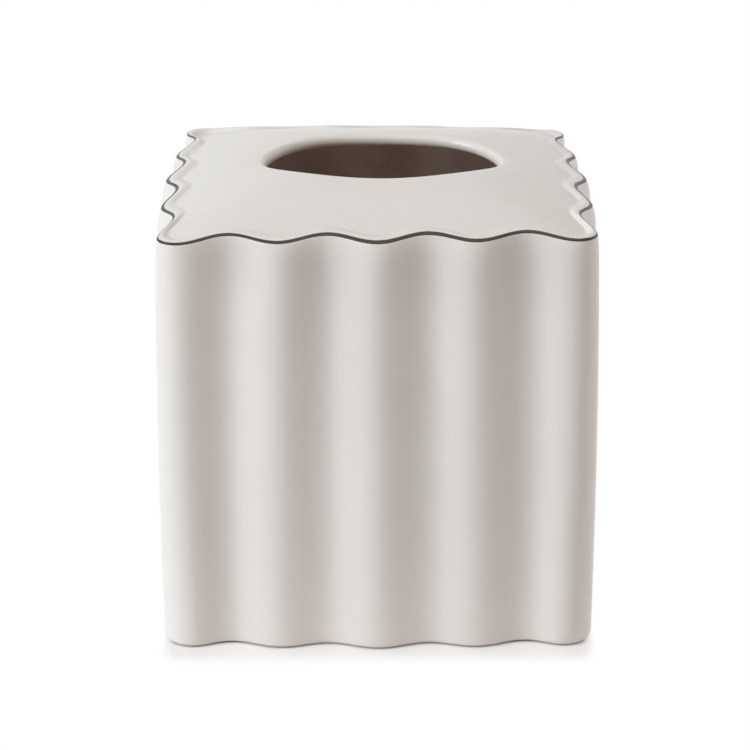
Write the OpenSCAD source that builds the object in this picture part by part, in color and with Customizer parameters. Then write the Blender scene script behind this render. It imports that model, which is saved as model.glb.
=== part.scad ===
// Tissue box cover: a fluted porcelain shell, open underneath, that stands over a cube carton.
// Millimetres, +Z up, with the origin on the table under the middle of the cover.

/* [Tissue carton] */
// Width and depth of the tissue carton under the cover
carton_width = 114; // [100:1:130]
// Height of the tissue carton
carton_height = 128; // [100:1:150]
// Gap on each side between the carton and the nearest flutes
carton_clearance = 2.6; // [1:0.1:8]
// Gap between the carton's top and the inside of the cover at its rim
headroom = 7.2; // [2:0.1:20]

/* [Shell] */
// Thickness of the cast shell
wall = 4.2; // [3:0.1:6]
// How far the foot stands out beyond the rim, on each side
flare = 2.1; // [0:0.1:5]
// How far the wall swells out just under the rim
shoulder_swell = 0.7; // [0:0.1:1.5]
// Height over which it swells
shoulder_height = 8; // [4:0.5:14]
// Radius of the foot's outer edge
foot_round = 2.2; // [1:0.1:2.2]
// Radius of the foot's inner edge
foot_inner_round = 0.6; // [0.2:0.1:0.7]

/* [Flutes and corners] */
// Flutes along each side
flutes = 4; // [3:1:6]
// Depth of a flute at the rim, from crest to trough
flute_depth = 4.2; // [2:0.1:6]
// Depth of a flute at the foot
foot_flute_depth = 3.5; // [2:0.1:6]
// How far the flutes spread toward the corners at the foot, as a share of their distance from the middle
foot_fan_share = 0.07; // [0:0.01:0.1]
// How far each side bows out, midway between its corners
side_bow = 1.9; // [0:0.1:4]
// How much further each side bulges out below the shoulder. This fades away toward the foot.
belly = 1.3; // [0:0.1:2]
// Radius of the corner lobes at the rim
rim_corner_radius = 6; // [4:0.1:9]
// Radius of the corner lobes just below the shoulder
shoulder_corner_radius = 8.2; // [5:0.1:12]
// Radius of the corner lobes at the foot
foot_corner_radius = 10; // [5:0.1:14]
// Smallest radius inside a corner
inner_corner_radius = 1; // [0.5:0.1:2]
// How far the rim rises at the troughs of the flutes
rim_wave = 1.4; // [0:0.1:3]
// How far the rim drops at its corners
corner_dip = 0.6; // [0:0.1:2]
// How far the rim is twisted: higher at its front right and back left corners, and lower at the other two
rim_twist = 0.5; // [0:0.1:1]
// How far each corner is spread round the hole's edge, in degrees to each side of its diagonal
corner_spread_angle = 12; // [2:1:20]

/* [Top] */
// Rise of the top from the rim's crests to the hole's lip, without the lip's own dips
crown_rise = 8.6; // [4:0.1:15]
// How far the top is lower at the ends of the hole than at its back
end_drop = 1.9; // [0:0.1:3]
// How far the lip dips at its front, back and ends. Between them it rises as far.
lip_sag = 0.5; // [0:0.1:1]
// Length of the hole, side to side
hole_length = 78; // [60:1:86]
// Width of the hole, front to back
hole_width = 53; // [40:1:70]
// Distance of the hole to the right of the middle, as it was cut by hand
hole_offset = 2; // [0:0.5:4]
// How far the rim's lip stands above the dome inside it
rim_lip_step = 1; // [0:0.1:2]
// Width of the rim's lip
rim_lip_width = 1.4; // [1:0.1:3]
// Width of the slope from the lip down to the dome
rim_lip_slope = 4.4; // [2:0.1:6]

/* [Rim line] */
// Height of the coloured line down the outside of the rim
line_drop = 0.7; // [0.6:0.1:2]
// Width of the coloured line over the top of the rim
line_lap = 0.5; // [0.4:0.1:0.8]
// How deep its seat lies behind the rim's outside and below its edge
line_depth = 0.5; // [0.4:0.1:0.7]
// Radius of the rim's worn edge, which the line wraps
edge_round = 0.3; // [0.1:0.05:0.3]

/* [Hidden] */

// Overall sizes
half_rim = carton_width / 2 + carton_clearance + wall + flute_depth;
rim_height = carton_height + headroom + wall;
lip_radius = wall / 2;
hole_half = [hole_length / 2, hole_width / 2];

// Shape of the curves: powers of the flare, the crown and the rest, and steps along each outline
flare_power = 2.5;
crown_power = 1.55;
dome_power = 7;
under_power = 4;
dip_power = 3;
side_power = 4;
flute_steps = 8;
corner_steps = 6;
round_steps = 3;
lip_steps = 6;
side_steps = flutes * flute_steps;
per_side = side_steps + corner_steps;
around = 4 * per_side;

// Where the points of each section lie, as shares of the wall's height,
// of the shoulder's height, of the slope inside the rim's lip, and of the way on to the hole
body_shares = [0.14, 0.32, 0.5, 0.66, 0.8, 0.9];
inside_shares = [0.85, 0.6, 0.3];
shoulder_shares = [1, 0.6, 0.3];
slope_shares = [0, 0.25, 0.5, 0.75, 1];
crown_shares = [0.12, 0.28, 0.45, 0.62, 0.8, 0.94];
under_shares = [0.85, 0.6, 0.35, 0.2, 0.08];

// Each point of the outline lies on side side_of(i), either along it, from -1 to 1, or round its corner
function side_of(i) = floor(i / per_side);
function step_of(i) = i - per_side * side_of(i);
function on_side(i) = step_of(i) <= side_steps;
function along(i) = on_side(i) ? 2 * step_of(i) / side_steps - 1 : 1;
function corner_turn(i) = on_side(i) ? 0 : 90 * (step_of(i) - side_steps) / corner_steps;
function turned(p, quarter) =
    [p.x * cos(90 * quarter) - p.y * sin(90 * quarter), p.x * sin(90 * quarter) + p.y * cos(90 * quarter)];

// How far a point lies inside the line of crests, as a share of the flute's depth
function flute_share(i) = (1 - cos(180 * flutes * (along(i) + 1))) / 2;
function bow_at(i) = side_bow * (1 + cos(180 * along(i))) / 2;

// 1 over most of a side, and 0 at its corners
function side_share(i) = 1 - pow(along(i), side_power);

// The outline of a ring whose corner lobes reach half_width and have the given radius, with flutes of
// the given depth, drawn toward the corners by the share fan, and with the given bulge of its sides
function outline(i, half_width, radius, depth, fan, bulge) = turned(
    on_side(i)
        ? [
            along(i) * (1 + fan * side_share(i)) * (half_width - radius),
            depth * flute_share(i) - half_width - bow_at(i) - bulge * pow(side_share(i), 2)
        ]
        : [half_width - radius + radius * sin(corner_turn(i)), radius - half_width - radius * cos(corner_turn(i))],
    side_of(i)
);
function rim_point(i) = outline(i, half_rim, rim_corner_radius, flute_depth, 0, 0);

// How much of the shoulder lies above a point of the wall, by its share of the height up to the rim
function shoulder_share(share) = sqrt(1 - pow(1 - min(1, (1 - share) * rim_height / shoulder_height), 2));

// Half width, corner radius, and depth, fan and bulge of the sides, by the share of the height up to the rim
function half_at(share) =
    half_rim + flare * (1 - pow(share, flare_power)) + shoulder_swell * shoulder_share(share);
function radius_at(share) =
    foot_corner_radius + (shoulder_corner_radius - foot_corner_radius) * share
    - (shoulder_corner_radius - rim_corner_radius) * (1 - shoulder_share(share));
function depth_at(share) = foot_flute_depth + (flute_depth - foot_flute_depth) * share;
function fan_at(share) = foot_fan_share * (1 - share);
function bulge_at(share) = belly * share * shoulder_share(share);

// A point of the shell's outside or inside, set in from the outside and at the given height
function wall_point(i, share, inset, z) = concat(
    outline(
        i,
        half_at(share) - inset,
        max(radius_at(share) - inset, inner_corner_radius),
        depth_at(share),
        fan_at(share),
        bulge_at(share)
    ),
    [z]
);

// Height of the rim's edge and of the top of the hole's lip
function rim_z(i) =
    rim_height + rim_wave * flute_share(i) - corner_dip * pow(abs(along(i)), dip_power)
    - rim_twist * rim_point(i).x * rim_point(i).y / pow(half_rim, 2);
function lip_z(i) =
    let (a = bearing(i))
    rim_height + crown_rise - end_drop * pow(cos(a), 2) - lip_sag * cos(4 * a);

// How far a point of the plan lies from the rim's square to the hole's oval, as a share of that way
function crown_share(p) =
    let (square = pow(pow(abs(p.x) / half_rim, dome_power) + pow(abs(p.y) / half_rim, dome_power), 1 / dome_power))
    let (oval = norm([(p.x - hole_offset) / (hole_half.x + lip_radius), p.y / (hole_half.y + lip_radius)]))
    oval * (1 - square) / (oval - square);

// Height of the smooth dome at a point of the plan
function dome_z(i, p) =
    let (low = rim_height - rim_lip_step)
    low + (lip_z(i) - low) * (1 - pow(max(0, 1 - crown_share(p)), crown_power));

// The rim's lip, which fades into the dome, by the distance from the rim's edge
function fade(d) = (1 + cos(180 * max(0, min(1, (d - rim_lip_width) / rim_lip_slope)))) / 2;

// The hole's lip is half round: turn 90 is its top, 0 its narrowest place and -90 its underside
function bearing(i) =
    90 * (side_of(i) - 1) + (45 - corner_spread_angle) * along(i) + 2 * corner_spread_angle * corner_turn(i) / 90;
function lip_point(i, turn) =
    let (out = lip_radius * (1 - cos(turn)))
    [
        hole_offset + (hole_half.x + out) * cos(bearing(i)),
        (hole_half.y + out) * sin(bearing(i)),
        lip_z(i) + lip_radius * (sin(turn) - 1)
    ];

// A point of the top, a share t of the way from the rim's edge to the lip
function reach_of(i) =
    let (rim = rim_point(i))
    let (lip = lip_point(i, 90))
    norm([lip.x - rim.x, lip.y - rim.y]);
function top_point(i, t) =
    let (rim = rim_point(i))
    let (place = rim + ([lip_point(i, 90).x, lip_point(i, 90).y] - rim) * t)
    [place.x, place.y, dome_z(i, place) + (rim_z(i) - dome_z(i, rim)) * fade(t * reach_of(i))];

// A point of the top's underside, a share t of the way from the inside corner to the lip
function inner_corner(i) = wall_point(i, 1, wall, rim_z(i) - wall);
function under_point(i, t) =
    let (start = inner_corner(i))
    let (place = start + (lip_point(i, -90) - start) * t)
    [place.x, place.y, dome_z(i, place) + (rim_z(i) - dome_z(i, start)) * pow(1 - t, under_power) - wall];

// The seat of the coloured line: its lower edge on the wall, its upper edge on the top, and the corner between
function line_low(i) = wall_point(i, 1 - line_drop / rim_height, 0, rim_z(i) - line_drop);
function line_high(i) = top_point(i, line_lap / reach_of(i));
function line_seat(i) = wall_point(i, 1, line_depth, rim_z(i) - line_depth);

// The points where each solid is cut by a plane square to the outline at point i
function wall_section(i) =
    let (top = rim_z(i))
    concat(
        [for (k = [0:round_steps])
            let (a = 90 * (1 - k / round_steps))
            wall_point(i, 0, foot_round * (1 - cos(a)), foot_round * (1 - sin(a)))],
        [for (share = body_shares) wall_point(i, share, 0, share * top)],
        [for (share = shoulder_shares)
            let (drop = share * shoulder_height)
            wall_point(i, 1 - drop / rim_height, 0, top - drop)],
        [line_low(i), line_seat(i), inner_corner(i)],
        [for (share = inside_shares) wall_point(i, share, wall, share * top)],
        [wall_point(i, 0, wall, foot_inner_round), wall_point(i, 0, wall - foot_inner_round, 0)]
    );

function top_section(i) =
    let (reach = reach_of(i))
    let (near = (rim_lip_width + rim_lip_slope) / reach)
    concat(
        [line_seat(i), line_high(i)],
        [for (share = slope_shares) top_point(i, (rim_lip_width + rim_lip_slope * share) / reach)],
        [for (share = crown_shares) top_point(i, near + (1 - near) * share)],
        [for (k = [0:lip_steps]) lip_point(i, 90 - 180 * k / lip_steps)],
        [for (share = under_shares) under_point(i, share)],
        [inner_corner(i)]
    );

function line_section(i) =
    let (low = line_low(i))
    let (high = line_high(i))
    [
        low,
        wall_point(i, 1 - edge_round / rim_height, 0, rim_z(i) - edge_round),
        wall_point(i, 1, edge_round, rim_z(i)),
        high,
        line_seat(i)
    ];

// A closed band through the sections, one for each point of the outline. Each four-sided
// stretch is split along its shorter diagonal, so that bands that meet share their faces.
module band(sections) {
    count = len(sections[0]);
    points = [for (section = sections) for (point = section) point];
    faces = [
        for (i = [0:around - 1]) for (k = [0:count - 1])
            let (a = i * count + k)
            let (b = ((i + 1) % around) * count + k)
            let (c = ((i + 1) % around) * count + (k + 1) % count)
            let (d = i * count + (k + 1) % count)
            each norm(points[a] - points[c]) < norm(points[b] - points[d])
                ? [[a, c, b], [a, d, c]]
                : [[a, d, b], [b, d, c]]
    ];
    polyhedron(points, faces, convexity = 10);
}

// The upright, fluted wall, from the foot to the seam at the rim
module fluted_wall() {
    color("linen") band([for (i = [0:around - 1]) wall_section(i)]);
}

// The domed top with its raised rim and its oval hole
module top_panel() {
    color("seashell") band([for (i = [0:around - 1]) top_section(i)]);
}

// The fired-on coloured line that wraps the edge of the rim
module rim_line() {
    color("dimgray") band([for (i = [0:around - 1]) line_section(i)]);
}

fluted_wall();
top_panel();
rim_line();
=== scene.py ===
"""Looks of a fluted porcelain cover for a cube tissue carton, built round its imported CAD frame."""

import math

import bpy
from mathutils import Matrix, Vector


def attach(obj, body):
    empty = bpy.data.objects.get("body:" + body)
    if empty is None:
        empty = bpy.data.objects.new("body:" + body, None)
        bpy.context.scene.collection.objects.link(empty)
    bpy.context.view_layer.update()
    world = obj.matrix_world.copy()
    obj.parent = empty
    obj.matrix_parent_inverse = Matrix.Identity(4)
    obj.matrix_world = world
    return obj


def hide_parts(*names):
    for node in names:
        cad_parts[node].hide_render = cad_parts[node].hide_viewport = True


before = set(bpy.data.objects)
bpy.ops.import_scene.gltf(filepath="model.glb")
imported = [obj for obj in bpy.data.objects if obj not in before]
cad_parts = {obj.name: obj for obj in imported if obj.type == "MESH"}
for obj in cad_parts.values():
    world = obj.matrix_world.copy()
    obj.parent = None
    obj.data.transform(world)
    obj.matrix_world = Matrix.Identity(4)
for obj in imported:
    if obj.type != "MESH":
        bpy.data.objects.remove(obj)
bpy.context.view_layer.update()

MM = 0.001
QUARTER_TURN = math.pi / 2
FULL_TURN = math.pi * 2

# The sizes of the shell, as in the part's source, and of its painted line. Each rule below that reads
# one of them has it as a named input. The side bow and the crown rise are a few microns less than in the
# source, so that the smooth shell stays inside the box of the solids. The worn edge and the line have the
# sizes that they have in the photograph.
SIZES = {
    "Half width at rim": 68.0 * MM,
    "Rim height": 139.4 * MM,
    "Wall": 4.2 * MM,
    "Flare": 2.1 * MM,
    "Shoulder swell": 0.7 * MM,
    "Shoulder height": 8.0 * MM,
    "Foot round": 2.2 * MM,
    "Foot inner round": 0.6 * MM,
    "Flutes": 4.0,
    "Flute depth": 4.2 * MM,
    "Foot flute depth": 3.5 * MM,
    "Foot fan": 0.07,
    "Side bow": 1.895 * MM,
    "Belly": 1.3 * MM,
    "Rim corner radius": 6.0 * MM,
    "Shoulder corner radius": 8.2 * MM,
    "Foot corner radius": 10.0 * MM,
    "Inner corner radius": 1.0 * MM,
    "Rim wave": 1.4 * MM,
    "Corner dip": 0.6 * MM,
    "Rim twist": 0.5 * MM,
    "Corner spread": math.radians(12),
    "Crown rise": 8.595 * MM,
    "End drop": 1.9 * MM,
    "Lip sag": 0.5 * MM,
    "Hole half length": 39.0 * MM,
    "Hole half width": 26.5 * MM,
    "Hole offset": 2.0 * MM,
    "Rim lip step": 1.0 * MM,
    "Rim lip width": 1.4 * MM,
    "Rim lip slope": 4.4 * MM,
    "Edge round": 0.32 * MM,
    "Line drop": 0.55 * MM,
    "Line lap": 0.44 * MM,
    "Line thickness": 0.045 * MM,
}

# Powers of the curves: the flare toward the foot, the fall of the dome from the hole to the rim, the
# rounded square of the dome's plan, its underside, the drop of the rim to its corners, and the way in
# which the fan and the belly of a side fade toward its corners
FLARE_POWER = 2.5
CROWN_POWER = 1.55
DOME_POWER = 7.0
UNDER_POWER = 4.0
DIP_POWER = 3.0
SIDE_POWER = 4.0

# The share of each quarter of the way round that its corner lobe takes, the dips of the hole's lip, and
# the points round each sheet: 110 for each quarter, and the first one again
CORNER_SHARE = 0.12
LIP_DIPS = 4.0
POINTS_AROUND = 4 * 110 + 1

# Points closer than this are made one, and an edge that turns further than the angle stays sharp
SAME_PLACE = 0.001 * MM
SHARP_EDGE = math.radians(40)

# Colours of the glaze, whose darker tone stands for pooled glaze and for painted shade, of the bare clay, of the
# painted contact shade on the clay near the table, and of the fired paint
WALL_GLAZE = {"Colour": (0.818, 0.759, 0.73, 1.0), "Pooled and shaded": (0.728, 0.674, 0.649, 1.0),
              "Thin": (0.825, 0.778, 0.737, 1.0)}
TOP_GLAZE = {"Colour": (0.76, 0.73, 0.70, 1.0), "Pooled and shaded": (0.745, 0.715, 0.692, 1.0),
             "Thin": (0.785, 0.752, 0.71, 1.0)}
BARE_CLAY = {"Light clay": (0.93, 0.81, 0.75, 1.0), "Dark clay": (0.86, 0.72, 0.65, 1.0)}
PINHOLE = (0.42, 0.37, 0.32, 1.0)
# The dark tone of the painted contact shade on the bare clay at the foot
CONTACT_SHADE = (0.16, 0.14, 0.12, 1.0)
FULL_PAINT, DRY_PAINT = (0.017, 0.0135, 0.009, 1.0), (0.064, 0.053, 0.039, 1.0)

# The camera of the photograph, from a fit to the rim, the foot and the hole: its place in metres, its
# angles in degrees, and its lens and sensor in millimetres
EYE_PLACE = (-0.00312, -0.6982, 0.33758)
EYE_PITCH, EYE_YAW, EYE_ROLL = 21.062, -0.209, -0.132
EYE_LENS, EYE_SENSOR = 103.28, 36

# Every softbox hangs this far from the middle of the cover, and shines on it
LAMP_DISTANCE = 1.6
COVER_MIDDLE = Vector((0, 0, 0.07))
WHITE = (1, 1, 1)


class Wire:
    """A value in a node tree, so that the rule of a shape reads as a formula."""

    def __init__(self, board, socket):
        self.board = board
        self.socket = socket

    def __add__(self, other):
        return self.board.math("ADD", self, other)

    def __radd__(self, other):
        return self.board.math("ADD", other, self)

    def __sub__(self, other):
        return self.board.math("SUBTRACT", self, other)

    def __rsub__(self, other):
        return self.board.math("SUBTRACT", other, self)

    def __mul__(self, other):
        return self.board.math("MULTIPLY", self, other)

    def __rmul__(self, other):
        return self.board.math("MULTIPLY", other, self)

    def __truediv__(self, other):
        return self.board.math("DIVIDE", self, other)

    def __pow__(self, other):
        return self.board.math("POWER", self, other)


class Board:
    """A node tree on which formulas are laid out."""

    def __init__(self, tree):
        self.tree = tree

    def plug(self, socket, value):
        """Gives a socket its value, by a link where the value is a wire."""
        if isinstance(value, Wire):
            self.tree.links.new(value.socket, socket)
        else:
            socket.default_value = value

    def node(self, kind, inputs=None, **settings):
        node = self.tree.nodes.new(kind)
        for name, value in settings.items():
            setattr(node, name, value)
        for name, value in (inputs or {}).items():
            self.plug(node.inputs[name], value)
        return node

    def out(self, node, name=0):
        return Wire(self, node.outputs[name])

    def math(self, operation, *values, **settings):
        return self.out(self.node("ShaderNodeMath", dict(enumerate(values)), operation=operation, **settings))

    def vector(self, operation, *values):
        return self.out(self.node("ShaderNodeVectorMath", dict(enumerate(values)), operation=operation))

    def clip(self, value):
        """The value, kept between 0 and 1."""
        return self.math("ADD", value, 0.0, use_clamp=True)

    def sin(self, angle):
        return self.math("SINE", angle)

    def cos(self, angle):
        return self.math("COSINE", angle)

    def root(self, value):
        return self.math("SQRT", value)

    def size_of(self, value):
        """The value without its sign."""
        return self.math("ABSOLUTE", value)

    def least(self, a, b):
        return self.math("MINIMUM", a, b)

    def most(self, a, b):
        return self.math("MAXIMUM", a, b)

    def point(self, x, y, z):
        return self.out(self.node("ShaderNodeCombineXYZ", {"X": x, "Y": y, "Z": z}))

    def parts(self, point):
        node = self.node("ShaderNodeSeparateXYZ", {0: point})
        return [self.out(node, axis) for axis in "XYZ"]

    def scaled(self, point, factor):
        node = self.node("ShaderNodeVectorMath", {"Scale": factor, 0: point}, operation="SCALE")
        return self.out(node)

    def between(self, share, a, b):
        """The point a where share is 0 and b where it is 1."""
        return self.vector("ADD", self.scaled(a, 1.0 - share), self.scaled(b, share))

    def ramp(self, value, low, high, start=0.0, end=1.0):
        """Goes smoothly from start to end while value goes from low to high."""
        node = self.node("ShaderNodeMapRange", {"Value": value, "From Min": low, "From Max": high,
                                                "To Min": start, "To Max": end},
                         interpolation_type="SMOOTHSTEP")
        return self.out(node, "Result")

    def blend(self, share, a, b):
        """The colour a where share is 0 and b where it is 1."""
        return self.out(self.node("ShaderNodeMix", {0: share, 6: a, 7: b}, data_type="RGBA"), 2)

    def noise(self, place, scale, detail=2.0, roughness=0.5):
        node = self.node("ShaderNodeTexNoise", {"Vector": place, "Scale": scale, "Detail": detail,
                                                "Roughness": roughness})
        return self.out(node)


class Group(Board):
    """A node group with named inputs and outputs, which other trees place with their own values."""

    def __init__(self, name, kind):
        super().__init__(bpy.data.node_groups.new(name, kind))
        self.entry = self.tree.nodes.new("NodeGroupInput")
        self.exit = self.tree.nodes.new("NodeGroupOutput")

    def given(self, name, kind="NodeSocketFloat"):
        if name not in self.entry.outputs:
            self.tree.interface.new_socket(name, in_out="INPUT", socket_type=kind)
        return Wire(self, self.entry.outputs[name])

    def give(self, name, wire, kind="NodeSocketFloat"):
        self.tree.interface.new_socket(name, in_out="OUTPUT", socket_type=kind)
        self.plug(self.exit.inputs[name], wire)


class Rule(Group):
    """A Geometry Nodes tree written as formulas. Each size that a formula reads becomes a named input."""

    def __init__(self, name):
        super().__init__(name, "GeometryNodeTree")

    def size(self, name):
        fresh = name not in self.entry.outputs
        wire = self.given(name)
        if fresh:
            socket = [item for item in self.tree.interface.items_tree if item.name == name][0]
            socket.default_value = SIZES[name]
        return wire

    def use(self, rule, values):
        """Places another rule here. Its sizes come from this rule's own inputs of the same names."""
        node = self.node("GeometryNodeGroup", node_tree=rule.tree)
        for socket in node.inputs:
            if socket.name in values:
                self.plug(socket, values[socket.name])
            elif socket.name in SIZES:
                self.plug(socket, self.size(socket.name))
        return node

    def surface(self, rows, place, marks):
        """A sheet of faces right round the cover: place gives the point for each share of the way round
        and across, and each mark is kept under its name for the finish."""
        grid = self.node("GeometryNodeMeshGrid", {"Size X": 1.0, "Size Y": 1.0,
                                                  "Vertices X": POINTS_AROUND, "Vertices Y": rows})
        here = self.parts(self.out(self.node("GeometryNodeInputPosition")))
        around, across = here[0] + 0.5, here[1] + 0.5
        mesh = self.out(grid, "Mesh")
        for name, value in marks:
            store = self.node("GeometryNodeStoreNamedAttribute", {"Geometry": mesh, "Name": name,
                                                                  "Value": value(around, across)})
            mesh = self.out(store)
        moved = self.node("GeometryNodeSetPosition", {"Geometry": mesh, "Position": place(around, across)})
        return self.out(moved)

    def flipped(self, mesh):
        return self.out(self.node("GeometryNodeFlipFaces", {"Mesh": mesh}))

    def merged(self, mesh):
        """Makes one point of those that lie in one place."""
        return self.out(self.node("GeometryNodeMergeByDistance", {"Geometry": mesh, "Distance": SAME_PLACE}))

    def close(self, sheets, material):
        """Joins the sheets into one closed shell, smooth but for its true edges."""
        join = self.node("GeometryNodeJoinGeometry")
        for sheet in sheets:
            self.tree.links.new(sheet.socket, join.inputs[0])
        whole = self.merged(self.out(join))
        smooth = self.node("GeometryNodeSetShadeSmooth", {"Geometry": whole, "Shade Smooth": True})
        angle = self.out(self.node("GeometryNodeInputMeshEdgeAngle"), "Unsigned Angle")
        sharp = self.math("GREATER_THAN", angle, SHARP_EDGE)
        edges = self.node("GeometryNodeSetShadeSmooth", {"Geometry": self.out(smooth), "Selection": sharp,
                                                         "Shade Smooth": False}, domain="EDGE")
        real = self.node("GeometryNodeRealizeInstances", {"Geometry": self.out(edges)})
        finish = self.node("GeometryNodeSetMaterial", {"Geometry": self.out(real), "Material": material})
        self.give("Geometry", self.out(finish), "NodeSocketGeometry")


def outline_rule():
    """The fluted outline: four bowed sides with their flutes, and four round corner lobes."""
    rule = Rule("Fluted outline")
    around, half, radius = rule.given("Around"), rule.given("Half width"), rule.given("Corner radius")
    depth, bow, belly, fan = [rule.given(name) for name in ("Depth", "Bow", "Belly bulge", "Fan")]
    quarter = around * 4.0
    side = rule.math("FLOOR", quarter)
    share = quarter - side
    along = rule.least(2.0 * share / (1 - CORNER_SHARE) - 1.0, 1.0)
    turn = rule.most((share - (1 - CORNER_SHARE)) / CORNER_SHARE, 0.0) * QUARTER_TURN
    trough = (1.0 - rule.cos(rule.size("Flutes") * math.pi * (along + 1.0))) / 2.0
    middle = 1.0 - along ** SIDE_POWER
    x = along * (1.0 + fan * middle) * (half - radius) + radius * rule.sin(turn)
    bowed = bow * (1.0 + rule.cos(along * math.pi)) / 2.0 + belly * middle ** 2.0
    y = depth * trough - half + radius * (1.0 - rule.cos(turn)) - bowed
    c, s = rule.cos(side * QUARTER_TURN), rule.sin(side * QUARTER_TURN)
    rule.give("X", x * c - y * s)
    rule.give("Y", x * s + y * c)
    rule.give("Along", along)
    rule.give("Trough", trough)
    rule.give("Side", side)
    rule.give("Turn", turn)
    return rule


def rim_rule(outline):
    """The rim's sharp edge, before it is rounded, and the bearing at which its dome meets the hole."""
    rule = Rule("Rim edge")
    half = rule.size("Half width at rim")
    edge = rule.use(outline, {"Around": rule.given("Around"), "Half width": half,
                              "Corner radius": rule.size("Rim corner radius"),
                              "Depth": rule.size("Flute depth"), "Bow": rule.size("Side bow"),
                              "Belly bulge": 0.0, "Fan": 0.0})
    x, y, along, trough = [rule.out(edge, name) for name in ("X", "Y", "Along", "Trough")]
    dip = rule.size("Corner dip") * rule.size_of(along) ** DIP_POWER
    twist = rule.size("Rim twist") * (x / half) * (y / half)
    rule.give("X", x)
    rule.give("Y", y)
    rule.give("Z", rule.size("Rim height") + rule.size("Rim wave") * trough - dip - twist)
    rule.give("Trough", trough)
    spread = rule.size("Corner spread")
    corner = (rule.out(edge, "Side") - 1.0) * QUARTER_TURN + rule.out(edge, "Turn") * spread * (2 / QUARTER_TURN)
    rule.give("Bearing", corner + along * (QUARTER_TURN / 2 - spread))
    return rule


def wall_rule(outline):
    """A point of the wall, by its share of the height, its inset from the outside and its height."""
    rule = Rule("Wall point")
    rise, inset = rule.given("Rise"), rule.given("Inset")
    drop = rule.least((1.0 - rise) * rule.size("Rim height") / rule.size("Shoulder height"), 1.0)
    shoulder = rule.root(1.0 - (1.0 - drop) ** 2.0)
    half = rule.size("Half width at rim") + rule.size("Flare") * (1.0 - rise ** FLARE_POWER)
    half = half + rule.size("Shoulder swell") * shoulder - inset
    foot, high, rim = [rule.size(place + " corner radius") for place in ("Foot", "Shoulder", "Rim")]
    radius = foot + (high - foot) * rise - (high - rim) * (1.0 - shoulder) - inset
    low_depth = rule.size("Foot flute depth")
    ring = rule.use(outline, {"Around": rule.given("Around"), "Half width": half,
                              "Corner radius": rule.most(radius, rule.size("Inner corner radius")),
                              "Depth": low_depth + (rule.size("Flute depth") - low_depth) * rise,
                              "Bow": rule.size("Side bow"),
                              "Belly bulge": rule.size("Belly") * shoulder * rise,
                              "Fan": rule.size("Foot fan") * (1.0 - rise)})
    rule.give("Point", rule.point(rule.out(ring, "X"), rule.out(ring, "Y"), rule.given("Height")),
              "NodeSocketVector")
    return rule


def lip_rule(rim):
    """A point of the half-round lip of the hole. Roll is 90 degrees on its top and -90 underneath."""
    rule = Rule("Hole lip")
    roll, radius = rule.given("Roll"), rule.size("Wall") / 2.0
    bearing = rule.out(rule.use(rim, {"Around": rule.given("Around")}), "Bearing")
    c, s = rule.cos(bearing), rule.sin(bearing)
    sag = rule.size("Lip sag") * rule.cos(bearing * LIP_DIPS)
    top = rule.size("Rim height") + rule.size("Crown rise") - rule.size("End drop") * c * c - sag
    out = radius * (1.0 - rule.cos(roll))
    x = rule.size("Hole offset") + (rule.size("Hole half length") + out) * c
    y = (rule.size("Hole half width") + out) * s
    rule.give("Point", rule.point(x, y, top + radius * (rule.sin(roll) - 1.0)), "NodeSocketVector")
    rule.give("Top", top)
    return rule


def dome_rule():
    """The height of the smooth dome over a point of the plan, between the rim's square and the hole's oval."""
    rule = Rule("Dome height")
    x, y, top = [rule.given(name) for name in ("X", "Y", "Top")]
    half, radius = rule.size("Half width at rim"), rule.size("Wall") / 2.0
    along, deep = [rule.size_of(value) / half for value in (x, y)]
    square = (along ** DOME_POWER + deep ** DOME_POWER) ** (1 / DOME_POWER)
    right = (x - rule.size("Hole offset")) / (rule.size("Hole half length") + radius)
    back = y / (rule.size("Hole half width") + radius)
    oval = rule.root(right * right + back * back)
    share = oval * (1.0 - square) / (oval - square)
    low = rule.size("Rim height") - rule.size("Rim lip step")
    rule.give("Height", low + (top - low) * (1.0 - rule.most(1.0 - share, 0.0) ** CROWN_POWER))
    return rule


def top_rule(rim, lip, dome):
    """A point of the top, by its distance from the rim's edge and then by its share of the way to the lip."""
    rule = Rule("Dome point")
    around, distance, onward = rule.given("Around"), rule.given("Distance"), rule.given("Onward")
    edge = rule.use(rim, {"Around": around})
    x, y, z = [rule.out(edge, name) for name in "XYZ"]
    hole = rule.use(lip, {"Around": around, "Roll": QUARTER_TURN})
    lip_x, lip_y, _ = rule.parts(rule.out(hole, "Point"))
    top = rule.out(hole, "Top")
    reach = rule.root((lip_x - x) ** 2.0 + (lip_y - y) ** 2.0)
    near = distance / reach
    way = near + (1.0 - near) * onward
    place_x, place_y = x + (lip_x - x) * way, y + (lip_y - y) * way
    here = rule.out(rule.use(dome, {"X": place_x, "Y": place_y, "Top": top}))
    rim_side = rule.out(rule.use(dome, {"X": x, "Y": y, "Top": top}))
    slope = rule.clip((way * reach - rule.size("Rim lip width")) / rule.size("Rim lip slope"))
    fade = (1.0 + rule.cos(slope * math.pi)) / 2.0
    rule.give("Point", rule.point(place_x, place_y, here + (z - rim_side) * fade), "NodeSocketVector")
    return rule


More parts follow.
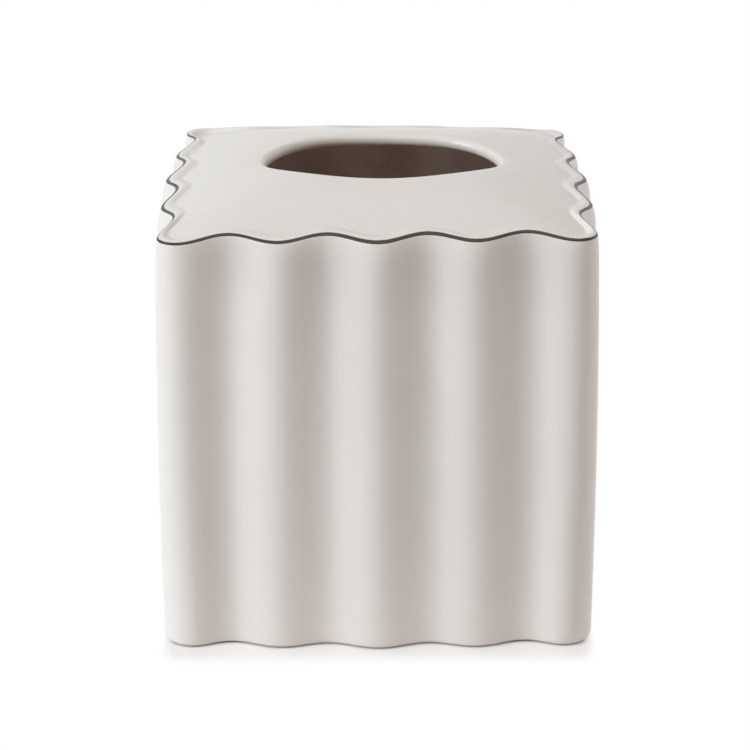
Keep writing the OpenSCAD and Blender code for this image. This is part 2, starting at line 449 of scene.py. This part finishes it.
class Shell:
    """The rules that the wall, the top and the painted line share."""

    def __init__(self):
        outline = outline_rule()
        self.rim = rim_rule(outline)
        self.wall = wall_rule(outline)
        self.lip = lip_rule(self.rim)
        self.dome = dome_rule()
        self.top = top_rule(self.rim, self.lip, self.dome)

    def of_rim(self, rule, around, name):
        return rule.out(rule.use(self.rim, {"Around": around}), name)

    def on_wall(self, rule, around, rise, inset, height):
        return rule.out(rule.use(self.wall, {"Around": around, "Rise": rise, "Inset": inset,
                                             "Height": height}))

    def under_rim(self, rule, around, drop):
        """A point of the wall's outside, a drop below the rim."""
        height = self.of_rim(rule, around, "Z")
        return self.on_wall(rule, around, 1.0 - drop / rule.size("Rim height"), 0.0, height - drop)

    def on_top(self, rule, around, distance, onward=0.0):
        return rule.out(rule.use(self.top, {"Around": around, "Distance": distance, "Onward": onward}))

    def on_lip(self, rule, around, roll):
        return rule.out(rule.use(self.lip, {"Around": around, "Roll": roll}))

    def on_edge(self, rule, around, share):
        """A point of the rim's rounded edge, from the wall at share 0 to the top at share 1."""
        edge = rule.use(self.rim, {"Around": around})
        corner = rule.point(*[rule.out(edge, name) for name in "XYZ"])
        low = self.under_rim(rule, around, rule.size("Edge round"))
        high = self.on_top(rule, around, rule.size("Edge round"))
        rest = 1.0 - share
        curve = rule.vector("ADD", rule.scaled(low, rest * rest), rule.scaled(corner, 2.0 * rest * share))
        return rule.vector("ADD", curve, rule.scaled(high, share * share))

    def inside_corner(self, rule, around):
        """Where the wall's inside meets the underside of the top."""
        height = self.of_rim(rule, around, "Z")
        return self.on_wall(rule, around, 1.0, rule.size("Wall"), height - rule.size("Wall"))


def same(value):
    """A mark that is the same all over a sheet."""
    return lambda around, across: value


def changing(rule, low, high, start=0.0, end=1.0):
    """A mark that goes from start to end while the way across a sheet goes from low to high."""
    return lambda around, across: rule.ramp(across, low, high, start, end)


def wall_tree(shell, material):
    """The fluted wall, as sheets that meet: up its outside, over the seam, down its inside and under its foot."""
    rule = Rule("Fluted wall")
    wall, foot, inner = rule.size("Wall"), rule.size("Foot round"), rule.size("Foot inner round")
    shoulder = rule.size("Shoulder height")

    def foot_curve(around, across):
        angle = (1.0 - across) * QUARTER_TURN
        return shell.on_wall(rule, around, 0.0, foot * (1.0 - rule.cos(angle)), foot * (1.0 - rule.sin(angle)))

    def body(around, across):
        top = shell.of_rim(rule, around, "Z")
        rise = across * (1.0 - shoulder / rule.size("Rim height"))
        return shell.on_wall(rule, around, rise, 0.0, foot + across * (top - shoulder - foot))

    def under(around, across):
        return shell.under_rim(rule, around, shoulder + (rule.size("Edge round") - shoulder) * across)

    def edge(around, across):
        return shell.on_edge(rule, around, across / 2.0)

    def seam(around, across):
        return rule.between(across, shell.on_edge(rule, around, 0.5), shell.inside_corner(rule, around))

    def inside(around, across):
        top = shell.of_rim(rule, around, "Z") - wall
        return shell.on_wall(rule, around, 1.0 - across, wall, top + (inner - top) * across)

    def foot_inside(around, across):
        return shell.on_wall(rule, around, 0.0, wall - inner * across, inner * (1.0 - across))

    def foot_flat(around, across):
        return shell.on_wall(rule, around, 0.0, wall - inner + (foot - wall + inner) * across, 0.0)

    # Each sheet with its rows of points, and 1 where it is bare inside
    sheets = ((foot_curve, 8, 0.0), (body, 36, 0.0), (under, 14, 0.0), (edge, 4, 0.0), (seam, 2, 0.0),
              (inside, 24, 1.0), (foot_inside, 2, 1.0), (foot_flat, 2, 0.0))
    trough = ("trough", lambda around, across: shell.of_rim(rule, around, "Trough"))
    rule.close([rule.surface(rows, place, (trough, ("inside", same(bare)))) for place, rows, bare in sheets],
               material)
    return rule


def top_tree(shell, material):
    """The domed top, from the seam over the rim's lip and the dome, round the hole's lip and back underneath."""
    rule = Rule("Domed top")
    lip_end = rule.size("Rim lip width") + rule.size("Rim lip slope")

    # The power that crowds the dome's rows toward the hole, and where across the hole's lip its crest lies
    crowding, crest_at = 1.4, 0.4

    def edge(around, across):
        return shell.on_edge(rule, around, 0.5 + across / 2.0)

    def rim_lip(around, across):
        start = rule.size("Edge round")
        return shell.on_top(rule, around, start + (lip_end - start) * across)

    def dome(around, across):
        return shell.on_top(rule, around, lip_end, 1.0 - (1.0 - across) ** crowding)

    def hole_lip(around, across):
        return shell.on_lip(rule, around, (0.5 - across) * math.pi)

    def under(around, across):
        inner = shell.inside_corner(rule, around)
        hole = rule.use(shell.lip, {"Around": around, "Roll": -QUARTER_TURN})
        x, y, _ = rule.parts(rule.between(1.0 - across, inner, rule.out(hole, "Point")))
        start_x, start_y, low = rule.parts(inner)
        top = rule.out(hole, "Top")
        here = rule.out(rule.use(shell.dome, {"X": x, "Y": y, "Top": top}))
        start = rule.out(rule.use(shell.dome, {"X": start_x, "Y": start_y, "Top": top}))
        rest = low + rule.size("Wall") - start
        return rule.point(x, y, here + rest * across ** UNDER_POWER - rule.size("Wall"))

    def seam(around, across):
        return rule.between(across, shell.inside_corner(rule, around), shell.on_edge(rule, around, 0.5))

    def crest(around, across):
        return rule.ramp(rule.size_of(across - crest_at), 0.0, crest_at, 1.0, 0.0)

    none, full = same(0.0), same(1.0)
    fading = changing(rule, 0.0, 0.3, 1.0, 0.0)
    # Darkest in the groove at the foot of the rim's lip: pooled glaze with painted shade
    lip_foot = changing(rule, 0.35, 1.0)
    wiped = changing(rule, 0.36, 0.62)

    # Each sheet with its rows of points, and where it is bare, where its glaze gathers with painted shade, and
    # where it has thin glaze
    sheets = ((edge, 4, none, none, full), (rim_lip, 16, none, lip_foot, fading), (dome, 34, none, fading, none),
              (hole_lip, 25, wiped, none, crest), (under, 18, full, none, none), (seam, 2, full, none, none))
    rule.close([rule.surface(rows, place, (("inside", bare), ("pooling_and_shade", pooling_and_shade), ("thin", thin)))
                for place, rows, bare, pooling_and_shade, thin in sheets], material)
    return rule


def line_tree(shell, material):
    """The painted line: a film of colour over the rim's edge. Both its edges wander as the brush did."""
    rule = Rule("Painted line")

    # The line is fuller toward one bearing, and each edge has its own wandering: how far it goes, the
    # scales of its slow and its quick part, and where in the noise it lies
    fullest, fuller_by = math.radians(80), 0.32
    low_edge, high_edge = (0.6, 1.6, 14.0, 3.7), (0.25, 2.4, 18.0, 9.1)
    slow_part, quick_part = 1.3, 0.5

    # Past the rounded edge, the line keeps at least this much on the wall and on the top
    least_drop, least_lap = 0.12 * MM, 0.08 * MM

    # The shares of the film's width that lie on the wall, round the edge and on the top, its rows of
    # points, and how deep its inner face lies, as a share of how far the outer one stands out
    stretches = ((0.0, 0.4), (0.4, 0.6), (0.6, 1.0))
    rows, inner_depth = 15, -2.0

    def wander(around, amount, slow, quick, seed):
        angle = around * FULL_TURN
        ring = rule.point(rule.cos(angle), rule.sin(angle), seed)
        slowly, quickly = [rule.noise(ring, scale) - 0.5 for scale in (slow, quick)]
        return (slowly * slow_part + quickly * quick_part) * amount

    def path(around, across):
        edge = rule.size("Edge round")
        fuller = rule.cos(around * FULL_TURN - fullest) * fuller_by
        drop = rule.size("Line drop") * (1.0 + fuller + wander(around, *low_edge))
        lap = rule.size("Line lap") * (1.0 + wander(around, *high_edge))
        drop, lap = rule.most(drop, edge + least_drop), rule.most(lap, edge + least_lap)
        low, bend, high = [rule.clip((across - start) / (end - start)) for start, end in stretches]
        first = shell.under_rim(rule, around, drop + (edge - drop) * low)
        second = rule.vector("SUBTRACT", shell.on_edge(rule, around, bend), shell.on_edge(rule, around, 0.0))
        third = rule.vector("SUBTRACT", shell.on_top(rule, around, edge + (lap - edge) * high),
                            shell.on_top(rule, around, edge))
        return rule.vector("ADD", rule.vector("ADD", first, second), third)

    marks = (("around", lambda around, across: around), ("across", lambda around, across: across))
    film = rule.merged(rule.surface(rows, path, marks))
    across = rule.out(rule.node("GeometryNodeInputNamedAttribute", {"Name": "across"}, data_type="FLOAT"))
    normal = rule.out(rule.node("GeometryNodeInputNormal"))
    thick = rule.size("Line thickness") * rule.root(rule.most(rule.sin(across * math.pi), 0.0))

    def offset(height):
        return rule.out(rule.node("GeometryNodeSetPosition", {"Geometry": film,
                                                              "Offset": rule.scaled(normal, height)}))

    rule.close([offset(thick), rule.flipped(offset(thick * inner_depth))], material)
    return rule


def cast(name, rule):
    """Runs a rule on an empty mesh and keeps what it makes as a plain piece."""
    piece = bpy.data.objects.new(name, bpy.data.meshes.new(name))
    bpy.context.collection.objects.link(piece)
    modifier = piece.modifiers.new(rule.tree.name, "NODES")
    modifier.node_group = rule.tree
    for item in rule.tree.interface.items_tree:
        if item.in_out == "INPUT":
            modifier[item.identifier] = SIZES[item.name]
    shape = bpy.data.meshes.new_from_object(piece.evaluated_get(bpy.context.evaluated_depsgraph_get()))
    piece.modifiers.remove(modifier)
    piece.data = shape
    shape.name = name
    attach(piece, "root")
    return piece


def glaze_recipe():
    """Soft porcelain glaze: clouds, pools in the hollows that also carry painted shade, thin edges, a faint ripple
    and a few pinholes.
    """
    group = Group("Soft glaze", "ShaderNodeTree")
    place = group.given("Place", "NodeSocketVector")
    colour, pooled_and_shaded, thin = [group.given(name, "NodeSocketColor") for name in ("Colour", "Pooled and shaded", "Thin")]
    pooling_and_shade, edge = group.given("Pooling and shade"), group.given("Edge")
    cloud = group.noise(place, scale=17.0, detail=3.0) - 0.5
    drift = group.noise(place, scale=70.0, detail=3.0, roughness=0.6) - 0.5

    # The glaze gathers in the hollows and in soft patches, and lies thin on the edges. The hollows' darker tone is
    # partly painted shade.
    by_pooling_and_shade, by_cloud, by_drift, uneven = 0.55, 1.1, 0.45, 1.2
    pool_and_shade = group.clip(pooling_and_shade * by_pooling_and_shade + cloud * by_cloud + drift * by_drift)
    worn = group.clip(edge * (1.0 + drift * uneven))
    tone = group.blend(worn, group.blend(pool_and_shade, colour, pooled_and_shaded), thin)

    # A pinhole opens in the middle of a cell, from its heart to its rim, in the few cells that draw a high lot
    cells = group.node("ShaderNodeTexVoronoi", {"Vector": place, "Scale": 105.0, "Randomness": 1.0})
    lot = group.parts(group.out(cells, "Color"))[0]
    heart, rim, low_lot, high_lot, pin_tone = 0.018, 0.042, 0.9, 0.97, 0.55
    pin = group.ramp(group.out(cells, "Distance"), heart, rim, 1.0, 0.0) * group.ramp(lot, low_lot, high_lot)
    group.give("Colour", group.blend(pin * pin_tone, tone, PINHOLE), "NodeSocketColor")

    # The gloss changes a little with the clouds, the thin edges and the pinholes
    gloss, cloud_gloss, drift_gloss, worn_gloss, pin_gloss = 0.32, 0.05, 0.03, 0.08, 0.3
    group.give("Roughness", gloss + cloud * cloud_gloss + drift * drift_gloss + worn * worn_gloss
               + pin * pin_gloss)
    wide_ripple, fine_ripple, pin_depth = 0.6, 0.25, 0.6
    ripple = (group.noise(place, scale=55.0, detail=1.0) * wide_ripple
              + group.noise(place, scale=190.0, detail=2.0) * fine_ripple)
    group.give("Height", ripple - pin * pin_depth)
    return group


def clay_recipe():
    """Bare fired clay: a dry, finely grained buff body, with painted contact shade, dark and patchy, where it
    stands on the table.
    """
    group = Group("Bare clay", "ShaderNodeTree")
    place = group.given("Place", "NodeSocketVector")
    light, dark = [group.given(name, "NodeSocketColor") for name in ("Light clay", "Dark clay")]
    patch = group.noise(place, scale=30.0, detail=4.0, roughness=0.6)
    grain = group.noise(place, scale=1500.0, detail=2.0, roughness=0.7)
    by_patch, by_grain, darker = 0.8, 0.4, 0.1
    clay = group.blend(group.clip(patch * by_patch + grain * by_grain - darker), dark, light)
    # Painted contact shade: a dark, patchy tone on the clay close to the table
    contact_shade_least, contact_shade_patch = 0.6, 0.6
    contact_shade = group.clip(group.given("Contact shade") * (contact_shade_least + patch * contact_shade_patch))
    group.give("Colour", group.blend(contact_shade, clay, CONTACT_SHADE), "NodeSocketColor")
    dry, dry_grain = 0.78, 0.14
    group.give("Roughness", dry + grain * dry_grain)
    grain_height, patch_height = 1.4, 0.5
    group.give("Height", grain * grain_height + patch * patch_height)
    return group


def fresh_material(name):
    """A new material, the board of its nodes and its Principled shader."""
    material = bpy.data.materials.new(name)
    material.use_nodes = True
    return material, Board(material.node_tree), material.node_tree.nodes["Principled BSDF"]


def mark(board, name):
    """A mark that a sheet of the piece was given."""
    return board.out(board.node("ShaderNodeAttribute", attribute_name=name), "Fac")


def plug_bump(board, shader, height, distance):
    bump = board.node("ShaderNodeBump", {"Height": height, "Distance": distance, "Strength": 1.0})
    board.plug(shader.inputs["Normal"], board.out(bump))


def porcelain(name, recipes, colours, pooling_and_shade, edge, bare):
    """Glazed outside and bare inside, the bare clay with painted contact shade near the table. pooling_and_shade,
    edge and bare each make a mask from the board and a place.
    """
    material, board, shader = fresh_material(name)
    place = board.out(board.node("ShaderNodeTexCoord"), "Object")
    glaze, clay = recipes
    outside = board.node("ShaderNodeGroup", {"Place": place, **colours, "Pooling and shade": pooling_and_shade(board, place),
                                             "Edge": edge(board, place)}, node_tree=glaze.tree)
    # The bare clay gets painted contact shade within this height of the table
    contact_shade_height = 3.0 * MM
    contact_shade = board.ramp(board.parts(place)[2], 0.0, contact_shade_height, 1.0, 0.0)
    inside = board.node("ShaderNodeGroup", {"Place": place, **BARE_CLAY, "Contact shade": contact_shade}, node_tree=clay.tree)
    mask = bare(board, place)

    def mixed(name):
        a, b = board.out(outside, name), board.out(inside, name)
        return a + (b - a) * mask

    coat = 0.2
    board.plug(shader.inputs["Base Color"], board.blend(mask, board.out(outside, "Colour"),
                                                        board.out(inside, "Colour")))
    board.plug(shader.inputs["Roughness"], mixed("Roughness"))
    board.plug(shader.inputs["Coat Weight"], (1.0 - mask) * coat)
    plug_bump(board, shader, mixed("Height"), 0.02 * MM)
    shader.inputs["Coat Roughness"].default_value = 0.08
    shader.inputs["Specular IOR Level"].default_value = 0.36
    return material


def bare_inside(board):
    """1 on the sheets that are bare, with a soft change halfway to those that are glazed."""
    glazed, bare = 0.4, 0.6
    return board.ramp(mark(board, "inside"), glazed, bare)


def wall_finish(recipes):
    """The wall's glaze: it gathers in the troughs, and just under the rim the troughs are darkened much further as
    painted shade.
    """
    # How much the troughs darken: a little as pooled glaze low on the wall, and far more as painted shade just
    # under the rim, from the first height below to the second
    trough_pool, rim_pool_and_shade = 0.25, 1.75
    rim_shade_start, rim_shade_end = 0.112, 0.136
    ring_end, glaze_start = 0.0006, 0.0009
    thin_low, thin_high, thin_share = 0.2, 0.9, 0.4

    # Pooled glaze in the troughs, with painted shade added just under the rim
    def pooling_and_shade(board, place):
        return mark(board, "trough") * board.ramp(board.parts(place)[2], rim_shade_start, rim_shade_end, trough_pool, rim_pool_and_shade)

    def edge(board, place):
        return board.ramp(board.noise(place, scale=24.0, detail=1.0), thin_low, thin_high) * thin_share

    def bare(board, place):
        foot_ring = board.ramp(board.parts(place)[2], ring_end, glaze_start, 1.0, 0.0)
        return board.most(bare_inside(board), foot_ring)

    return porcelain("Fluted wall glaze", recipes, WALL_GLAZE, pooling_and_shade, edge, bare)


def top_finish(recipes):
    """The top's glaze, which gathers at the foot of the rim's lip, where painted shade also darkens the groove,
    and lies thin over the edges.
    """
    return porcelain("Domed top glaze", recipes, TOP_GLAZE, lambda board, place: mark(board, "pooling_and_shade"),
                     lambda board, place: mark(board, "thin"), lambda board, place: bare_inside(board))


def paint_finish():
    """Charcoal line, laid on by hand with a brush and fired: thinner where the brush ran dry and at its edges."""
    material, board, shader = fresh_material("Fired charcoal line")
    place = board.out(board.node("ShaderNodeTexCoord"), "Object")
    across = mark(board, "across")
    load = board.noise(place, scale=45.0, detail=3.0, roughness=0.6)
    hairs_across, hairs_around = 9.0, 260.0
    stroke = board.point(across * hairs_across, mark(board, "around") * hairs_around, 0.0)
    hairs = board.noise(stroke, scale=1.0, detail=2.0, roughness=0.6)
    brim_width, by_load, by_hairs, by_brim = 0.14, 0.5, 0.4, 0.7
    brim = board.most(board.ramp(across, 0.0, brim_width, 1.0, 0.0), board.ramp(across, 1.0 - brim_width, 1.0))
    load_end, hairs_end, all_dry = 0.5, 0.52, 0.8
    dry = board.clip(board.ramp(load, load_end, all_dry) * by_load
                     + board.ramp(hairs, hairs_end, all_dry) * by_hairs + brim * by_brim)
    gloss, dry_gloss, hair_gloss = 0.3, 0.25, 0.1
    board.plug(shader.inputs["Base Color"], board.blend(dry, FULL_PAINT, DRY_PAINT))
    board.plug(shader.inputs["Roughness"], gloss + dry * dry_gloss + hairs * hair_gloss)
    plug_bump(board, shader, hairs + load, 0.03 * MM)
    shader.inputs["Coat Weight"].default_value = 0.06
    shader.inputs["Coat Roughness"].default_value = 0.12
    shader.inputs["Specular IOR Level"].default_value = 0.35
    return material


def add_softbox(name, bearing, height, width, power, colour=WHITE):
    """A square softbox that faces the cover. Bearing 0 is in front of it and -90 to its left. The bearing
    and the height above the table are in degrees, the width in metres and the power in watts."""
    turn, rise = math.radians(bearing), math.radians(height)
    light = bpy.data.lights.new(name, "AREA")
    light.shape = "SQUARE"
    light.size = width
    light.energy = power
    light.color = colour
    lamp = bpy.data.objects.new(name, light)
    bpy.context.collection.objects.link(lamp)
    away = Vector((math.sin(turn) * math.cos(rise), -math.cos(turn) * math.cos(rise), math.sin(rise)))
    lamp.location = COVER_MIDDLE + away * LAMP_DISTANCE
    lamp.rotation_euler = away.to_track_quat("Z", "Y").to_euler()


def background_rays(board):
    """1 for a ray from the camera, a reflection or a clear body, and 0 for one that carries light."""
    path = board.node("ShaderNodeLightPath")
    camera, gloss, clear = [board.out(path, name) for name in ("Is Camera Ray", "Is Glossy Ray",
                                                               "Is Transmission Ray")]
    return board.most(board.most(camera, gloss), clear)


def add_floor():
    """A pale table. Close to the cover it shows the cover's shadow, and past it the camera sees plain white."""
    reach, pale, matt = 0.6, (0.87, 0.87, 0.87, 1), 0.7
    mesh = bpy.data.meshes.new("floor")
    mesh.from_pydata([(-reach, -reach, 0), (reach, -reach, 0), (reach, reach, 0), (-reach, reach, 0)], [],
                     [(0, 1, 2, 3)])
    floor = bpy.data.objects.new("floor", mesh)
    bpy.context.collection.objects.link(floor)
    material, board, shader = fresh_material("White table")
    shader.inputs["Base Color"].default_value = pale
    shader.inputs["Roughness"].default_value = matt

    # The floor inside the cover has no white. Outside it, the white grows from its least to full while the
    # gap to the foot goes from near to far. At the sides it grows faster, and starts a little further in.
    inner_half, outer_half = 0.0655, 0.068
    side_half, foot_half, side_haste = 0.065, 0.0695, 1.9
    near, far, least_white = 0.003, 0.0138, 0.14
    x, y, _ = board.parts(board.out(board.node("ShaderNodeTexCoord"), "Object"))
    side, deep = board.size_of(x), board.size_of(y)
    outside = board.ramp(board.most(side, deep), inner_half, outer_half)
    beside, beyond = board.most(side - side_half, 0.0) * side_haste, board.most(deep - foot_half, 0.0)
    white = outside * board.ramp(board.root(beside * beside + beyond * beyond), near, far, least_white, 1.0)
    glow = board.node("ShaderNodeEmission", {"Color": (*WHITE, 1), "Strength": 1.0})
    both = board.node("ShaderNodeMixShader", {0: background_rays(board) * white})
    board.tree.links.new(shader.outputs[0], both.inputs[1])
    board.tree.links.new(glow.outputs[0], both.inputs[2])
    board.tree.links.new(both.outputs[0], board.tree.nodes["Material Output"].inputs["Surface"])
    mesh.materials.append(material)


def add_world(level):
    """A white room that lights the cover at a low level, and is plain white behind it."""
    world = bpy.data.worlds.new("White room")
    bpy.context.scene.world = world
    world.use_nodes = True
    board = Board(world.node_tree)
    back = board.tree.nodes["Background"]
    back.inputs["Color"].default_value = (*WHITE, 1)
    board.plug(back.inputs["Strength"], background_rays(board) * (1 - level) + level)


def add_camera():
    camera = bpy.data.cameras.new("camera")
    camera.sensor_width = EYE_SENSOR
    camera.lens = EYE_LENS
    eye = bpy.data.objects.new("camera", camera)
    bpy.context.collection.objects.link(eye)
    pitch, yaw, roll = [math.radians(angle) for angle in (EYE_PITCH, EYE_YAW, EYE_ROLL)]
    eye.matrix_world = (Matrix.Translation(EYE_PLACE) @ Matrix.Rotation(yaw, 4, "Z")
                        @ Matrix.Rotation(QUARTER_TURN - pitch, 4, "X") @ Matrix.Rotation(roll, 4, "Z"))
    bpy.context.scene.camera = eye


bpy.context.scene.view_settings.view_transform = "Standard"
add_camera()
add_floor()
add_world(level=0.1)
add_softbox("left softbox", bearing=-67, height=24, width=0.6, power=18, colour=(0.85, 0.955, 1.0))
add_softbox("overhead softbox", bearing=0, height=70, width=1.2, power=10.9, colour=(1.0, 0.89, 0.8))
add_softbox("right card", bearing=100, height=12, width=1.2, power=7.1, colour=(1.0, 0.95, 0.92))
add_softbox("back card", bearing=180, height=60, width=1.2, power=1.7)

shell = Shell()
recipes = (glaze_recipe(), clay_recipe())
wall = cast("fluted_wall_glaze", wall_tree(shell, wall_finish(recipes)))
top = cast("domed_top_glaze", top_tree(shell, top_finish(recipes)))
line = cast("painted_rim_line", line_tree(shell, paint_finish()))
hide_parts("fluted_wall")
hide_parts("top_panel")
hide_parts("rim_line")
